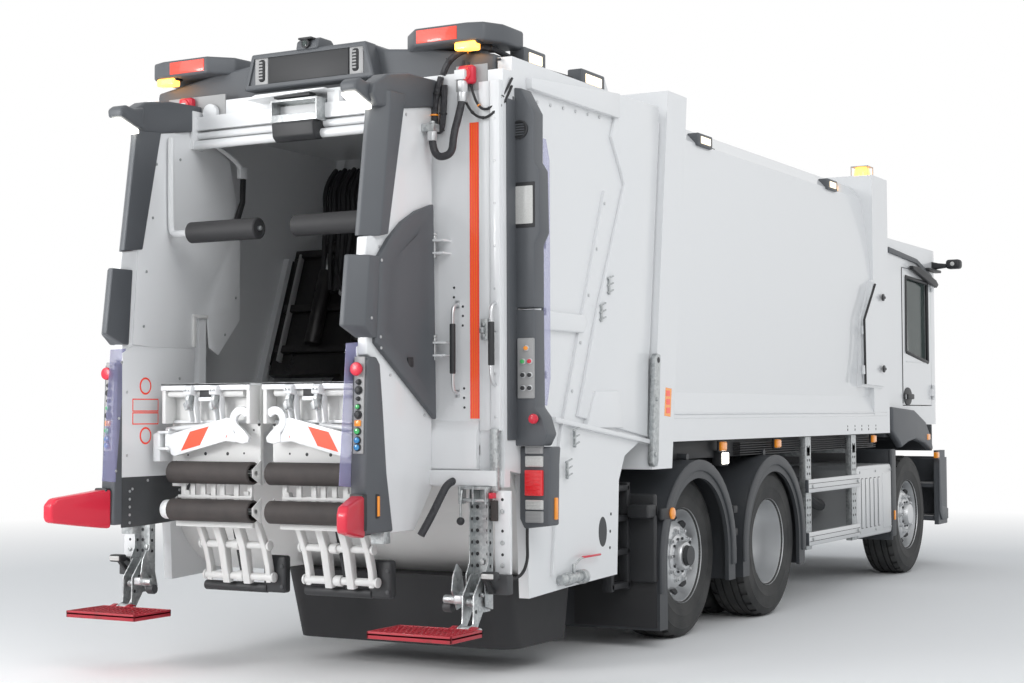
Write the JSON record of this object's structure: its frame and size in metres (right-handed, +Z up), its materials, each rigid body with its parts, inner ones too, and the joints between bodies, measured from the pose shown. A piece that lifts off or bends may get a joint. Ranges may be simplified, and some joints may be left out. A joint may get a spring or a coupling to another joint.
{
  "type": "garbage truck",
  "caption": "Three-axle rear-loading garbage truck with a tilting cab, ejector body, lifting tailgate with packer, and twin bin lifters.",
  "frame": {"origin": "on the ground, in the middle of the truck's box", "axes": "+X forward, +Y to the truck's left, +Z up"},
  "size_m": [9.8, 2.84, 3.5299],
  "materials": {
    "white_paint": "gloss, lightly dusty",
    "inner_steel": "worn matt white",
    "frame_paint": "satin",
    "axle_paint": "matt",
    "rim_silver": "satin",
    "tyre_rubber": "matt",
    "dark_plastic": "grained",
    "black_plastic": "satin",
    "galvanised": "zinc coated",
    "aluminium": "satin",
    "stainless": "ribbed sheet",
    "red_plastic": "gloss",
    "red_step": "expanded metal, worn",
    "amber_lens": "clear lens",
    "red_lens": "clear lens",
    "clear_flap": "soft clear plastic",
    "window_glass": "lightly tinted",
    "hose_rubber": "ribbed sleeve",
    "seat_fabric": "woven",
    "roller_rubber": "matt",
    "striped_paint": "white with red reflective stripes"
  },
  "bodies": {
    "root": {"frame_rails": "frame_paint", "engine": "axle_paint", "driveline": "axle_paint", "front_axle": "axle_paint", "drive_axle": "axle_paint", "trailing_axle": "axle_paint", "exhaust_box": "stainless", "fuel_tank": "aluminium", "air_tanks": "frame_paint", "side_guards": "aluminium", "mudguards": "dark_plastic", "bumper": "dark_plastic", "body_shell": "white_paint", "beacons": "amber_lens"},
    "ejector": {"ejector": "inner_steel"},
    "service_door": {"service_door": "white_paint"},
    "cab": {"cab_shell": "white_paint", "windscreen": "window_glass", "cab_interior": "seat_fabric", "cab_trim": "dark_plastic"},
    "tailgate": {"gate_shell": "white_paint", "trough": "inner_steel", "tub": "black_plastic", "portal": "white_paint", "dark_covers": "dark_plastic", "clear_flaps": "clear_flap", "tail_lamps": "red_lens", "paddles": "red_plastic", "stop_rollers": "roller_rubber", "step_brackets": "galvanised", "hose_upper": "hose_rubber", "hose_lower": "hose_rubber"},
    "packer_carriage": {"packer_carriage": "inner_steel"},
    "packer_plate": {"packer_plate": "frame_paint"},
    "door_left": {"door_left": "white_paint", "door_glass_left": "window_glass"},
    "step_left": {"step_left": "red_step"},
    "lifter_left": {"lifter_left": "white_paint"},
    "swing_arm_left": {"swing_arm_left": "striped_paint"},
    "wheel_front_left": {"tyre_front_left": "tyre_rubber", "rim_front_left": "rim_silver"},
    "wheel_drive_left": {"tyre_drive_left": "tyre_rubber", "rim_drive_left": "rim_silver"},
    "wheel_trailing_left": {"tyre_trailing_left": "tyre_rubber", "rim_trailing_left": "rim_silver"},
    "knuckle_front_left": {"knuckle_front_left": "axle_paint"},
    "knuckle_trailing_left": {"knuckle_trailing_left": "axle_paint"},
    "door_right": {"door_right": "white_paint", "door_glass_right": "window_glass"},
    "step_right": {"step_right": "red_step"},
    "lifter_right": {"lifter_right": "white_paint"},
    "swing_arm_right": {"swing_arm_right": "striped_paint"},
    "wheel_front_right": {"tyre_front_right": "tyre_rubber", "rim_front_right": "rim_silver"},
    "wheel_drive_right": {"tyre_drive_right": "tyre_rubber", "rim_drive_right": "rim_silver"},
    "wheel_trailing_right": {"tyre_trailing_right": "tyre_rubber", "rim_trailing_right": "rim_silver"},
    "knuckle_front_right": {"knuckle_front_right": "axle_paint"},
    "knuckle_trailing_right": {"knuckle_trailing_right": "axle_paint"}
  },
  "joints": [
    {"name": "steer_front_left", "type": "hinge", "parent": "root", "child": "knuckle_front_left", "pos_m": [3.49, 0.84, 0.515], "axis": [0, 0, 1], "range_deg": [-38, 38]},
    {"name": "steer_front_right", "type": "hinge", "parent": "root", "child": "knuckle_front_right", "pos_m": [3.49, -0.84, 0.515], "axis": [0, 0, 1], "range_deg": [-38, 38]},
    {"name": "steer_trailing_left", "type": "hinge", "parent": "root", "child": "knuckle_trailing_left", "pos_m": [-1.46, 0.9, 0.515], "axis": [0, 0, 1], "range_deg": [-11.4, 11.4]},
    {"name": "steer_trailing_right", "type": "hinge", "parent": "root", "child": "knuckle_trailing_right", "pos_m": [-1.46, -0.9, 0.515], "axis": [0, 0, 1], "range_deg": [-11.4, 11.4]},
    {"name": "roll_front_left", "type": "hinge", "parent": "knuckle_front_left", "child": "wheel_front_left", "pos_m": [3.49, 1, 0.515], "axis": [0, 1, 0], "continuous": true},
    {"name": "roll_front_right", "type": "hinge", "parent": "knuckle_front_right", "child": "wheel_front_right", "pos_m": [3.49, -1, 0.515], "axis": [0, 1, 0], "continuous": true},
    {"name": "roll_drive_left", "type": "hinge", "parent": "root", "child": "wheel_drive_left", "pos_m": [-0.11, 1, 0.515], "axis": [0, 1, 0], "continuous": true},
    {"name": "roll_drive_right", "type": "hinge", "parent": "root", "child": "wheel_drive_right", "pos_m": [-0.11, -1, 0.515], "axis": [0, 1, 0], "continuous": true},
    {"name": "roll_trailing_left", "type": "hinge", "parent": "knuckle_trailing_left", "child": "wheel_trailing_left", "pos_m": [-1.46, 1, 0.515], "axis": [0, 1, 0], "continuous": true},
    {"name": "roll_trailing_right", "type": "hinge", "parent": "knuckle_trailing_right", "child": "wheel_trailing_right", "pos_m": [-1.46, -1, 0.515], "axis": [0, 1, 0], "continuous": true},
    {"name": "ejector_slide", "type": "slide", "parent": "root", "child": "ejector", "axis": [-1, 0, 0], "range_m": [0, 3.5]},
    {"name": "service_door_hinge", "type": "hinge", "parent": "root", "child": "service_door", "pos_m": [1.91, -1.2823, 1.9], "axis": [0, 0, -1], "range_deg": [0, 100]},
    {"name": "cab_tilt", "type": "hinge", "parent": "root", "child": "cab", "pos_m": [4.74, 0, 1], "axis": [0, 1, 0], "range_deg": [0, 50]},
    {"name": "door_left_hinge", "type": "hinge", "parent": "cab", "child": "door_left", "pos_m": [4.35, 1.167, 2], "axis": [0, 0, -1], "range_deg": [0, 70]},
    {"name": "door_right_hinge", "type": "hinge", "parent": "cab", "child": "door_right", "pos_m": [4.35, -1.167, 2], "axis": [0, 0, 1], "range_deg": [0, 70]},
    {"name": "tailgate_lift", "type": "hinge", "parent": "root", "child": "tailgate", "pos_m": [-1.89, 0, 3.47], "axis": [0, 1, 0], "range_deg": [0, 88]},
    {"name": "carriage_slide", "type": "slide", "parent": "tailgate", "child": "packer_carriage", "axis": [-0.342, 0, -0.9397], "range_m": [0, 0.6]},
    {"name": "packer_swing", "type": "hinge", "parent": "packer_carriage", "child": "packer_plate", "pos_m": [-2.74, 0, 1.6], "axis": [0, 1, 0], "range_deg": [0, 80]},
    {"name": "lifter_left_tip", "type": "hinge", "parent": "tailgate", "child": "lifter_left", "pos_m": [-3.98, 0.34, 1.48], "axis": [0, 1, 0], "range_deg": [0, 120]},
    {"name": "swing_arm_left_open", "type": "hinge", "parent": "lifter_left", "child": "swing_arm_left", "pos_m": [-4.31, 0.61, 1.28], "axis": [0, 0, -1], "range_deg": [0, 80]},
    {"name": "step_left_fold", "type": "hinge", "parent": "tailgate", "child": "step_left", "pos_m": [-4.09, 1.12, 0.33], "axis": [0, 1, 0], "range_deg": [0, 85]},
    {"name": "lifter_right_tip", "type": "hinge", "parent": "tailgate", "child": "lifter_right", "pos_m": [-3.98, -0.34, 1.48], "axis": [0, 1, 0], "range_deg": [0, 120]},
    {"name": "swing_arm_right_open", "type": "hinge", "parent": "lifter_right", "child": "swing_arm_right", "pos_m": [-4.31, -0.61, 1.28], "axis": [0, 0, 1], "range_deg": [0, 80]},
    {"name": "step_right_fold", "type": "hinge", "parent": "tailgate", "child": "step_right", "pos_m": [-4.09, -1.12, 0.33], "axis": [0, 1, 0], "range_deg": [0, 85]}
  ],
  "couplings": [
    {"joint": "steer_front_right", "follows": "steer_front_left", "ratio": 1},
    {"joint": "steer_trailing_left", "follows": "steer_front_left", "ratio": -0.3},
    {"joint": "steer_trailing_right", "follows": "steer_front_left", "ratio": -0.3}
  ]
}
